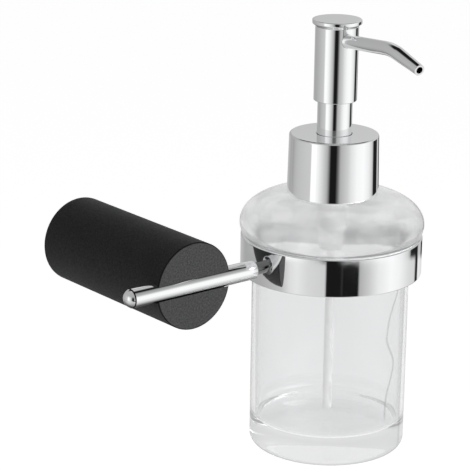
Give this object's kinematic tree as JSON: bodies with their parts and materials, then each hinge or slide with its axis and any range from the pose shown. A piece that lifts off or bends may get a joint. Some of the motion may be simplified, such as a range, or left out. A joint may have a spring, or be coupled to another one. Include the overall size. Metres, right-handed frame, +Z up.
{
  "type": "wall mounted soap dispenser",
  "caption": "Wall mounted soap dispenser: a clear glass pump bottle hangs in a chrome ring on a rod held by a matt black post; the head presses down and turns.",
  "frame": {"origin": "centre of the post's foot on the wall", "axes": "+Y into the wall, along the post's axis; +X along the rod, from the post to the bottle; +Z up"},
  "size_m": [0.1462, 0.1383, 0.1846],
  "materials": {
    "black_coat": "fine-grained matt powder coat",
    "chrome": "polished chrome plate",
    "clear_glass": "clear pressed glass",
    "clear_plastic": "clear moulded plastic",
    "milky_plastic": "milky translucent plastic",
    "white_plastic": "white moulded plastic",
    "seal_rubber": "soft pale seal rubber",
    "screw_steel": "stainless steel",
    "bracket_metal": "plain cast metal"
  },
  "bodies": {
    "wall_holder": {"wall_bracket": "bracket_metal", "post_shell": "black_coat", "post_grub_screw": "screw_steel", "cross_rod": "chrome", "rod_end_cap": "chrome", "rod_fixing_screw": "screw_steel", "neck_spacer": "chrome", "ring_band": "chrome", "ring_screw": "screw_steel", "ring_liner": "clear_plastic"},
    "bottle": {"glass_bottle": "clear_glass"},
    "pump_core": {"neck_gasket": "seal_rubber", "pump_housing": "milky_plastic", "pump_closure": "white_plastic", "dip_tube": "milky_plastic"},
    "ball": {"inlet_ball": "screw_steel"},
    "collar": {"collar_shell": "chrome", "collar_insert": "white_plastic", "guide_sleeve": "chrome"},
    "plunger": {"piston_seal": "seal_rubber", "return_spring": "screw_steel"},
    "head": {"piston_rod": "white_plastic", "head_cap": "chrome", "head_insert": "white_plastic", "spout_tube": "chrome"}
  },
  "joints": [
    {"name": "bottle_lift", "type": "slide", "parent": "wall_holder", "child": "bottle", "axis": [0, 0, 1], "range_m": [0, 0.1]},
    {"name": "thread_rise", "type": "slide", "parent": "bottle", "child": "pump_core", "axis": [0, 0, 1], "range_m": [0, 0.0045]},
    {"name": "collar_turn", "type": "hinge", "parent": "pump_core", "child": "collar", "pos_m": [0.0752, -0.0772, 0.026], "axis": [0, 0, 1], "range_deg": [0, 540]},
    {"name": "ball_rise", "type": "slide", "parent": "pump_core", "child": "ball", "axis": [0, 0, 1], "range_m": [0, 0.0015]},
    {"name": "pump_press", "type": "slide", "parent": "pump_core", "child": "plunger", "axis": [0, 0, -1], "range_m": [0, 0.012], "stiffness_N_per_m": 220, "springref_m": -0.014, "deforming": ["return_spring"]},
    {"name": "spout_swivel", "type": "hinge", "parent": "plunger", "child": "head", "pos_m": [0.0752, -0.0772, 0.09095], "axis": [0, 0, 1], "continuous": true}
  ],
  "couplings": [
    {"joint": "thread_rise", "follows": "collar_turn", "m_per_rad": 0.00047746}
  ]
}
